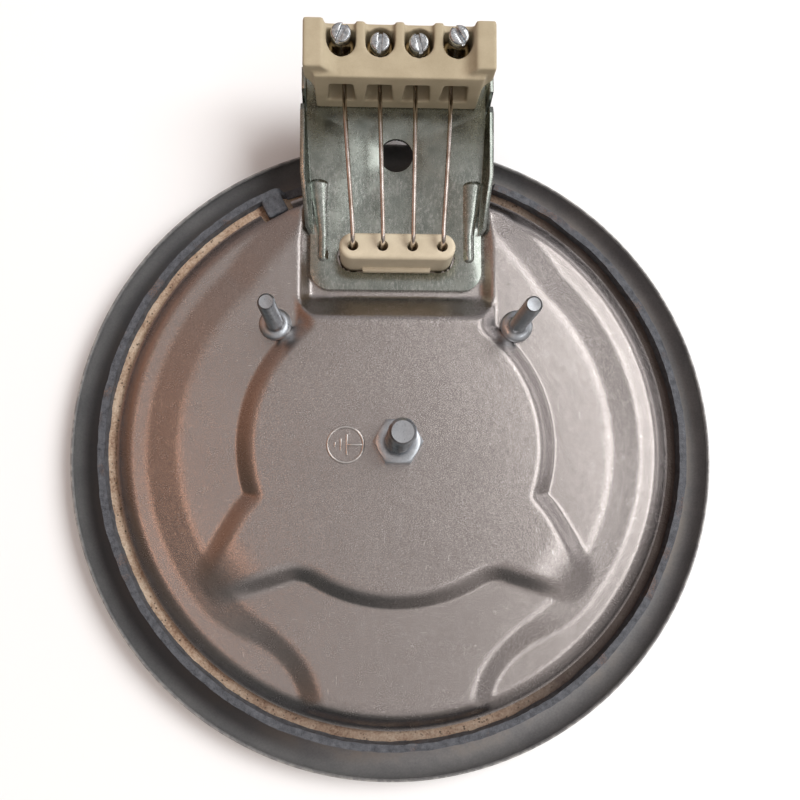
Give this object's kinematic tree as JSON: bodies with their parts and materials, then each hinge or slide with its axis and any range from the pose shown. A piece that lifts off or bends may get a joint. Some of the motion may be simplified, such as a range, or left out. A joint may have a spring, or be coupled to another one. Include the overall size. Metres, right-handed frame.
{
  "type": "solid hotplate",
  "caption": "Cast-iron solid hotplate for an electric hob, seen with its pressed underside cover, studs and ceramic terminal block.",
  "frame": {"origin": "centre of the cooking face, on the plane it cooks on", "axes": "+Z from the cooking face towards the underside with its studs, +Y along the terminal bracket, +X to the right when the underside is looked at with the terminal block at the top"},
  "size_m": [0.16, 0.1756, 0.0465],
  "materials": {
    "cast_iron": "rough",
    "trim_steel": "satin",
    "compound": "matte",
    "coil_wire": "satin",
    "cover_steel": "satin",
    "stud_zinc": "satin",
    "bracket_zinc": "satin",
    "bush_ceramic": "matte",
    "block_ceramic": "matte",
    "lead_wire": "satin",
    "clamp_brass": "satin",
    "screw_steel": "satin"
  },
  "bodies": {
    "root": {"cast_iron_plate": "cast_iron", "trim_ring": "trim_steel", "embedding_compound": "compound", "inner_heating_coil": "coil_wire", "middle_heating_coil": "coil_wire", "outer_heating_coil": "coil_wire", "cover_plate": "cover_steel", "centre_stud": "stud_zinc", "centre_nut": "stud_zinc", "left_side_stud": "stud_zinc", "right_side_stud": "stud_zinc", "terminal_bracket": "bracket_zinc", "lead_bush": "bush_ceramic", "terminal_block": "block_ceramic", "lead_wire_1": "lead_wire", "lead_wire_2": "lead_wire", "lead_wire_3": "lead_wire", "lead_wire_4": "lead_wire", "clamp_1": "clamp_brass", "clamp_2": "clamp_brass", "clamp_3": "clamp_brass", "clamp_4": "clamp_brass", "clamp_screw_1": "screw_steel", "clamp_screw_2": "screw_steel", "clamp_screw_3": "screw_steel", "clamp_screw_4": "screw_steel"}
  },
  "joints": []
}
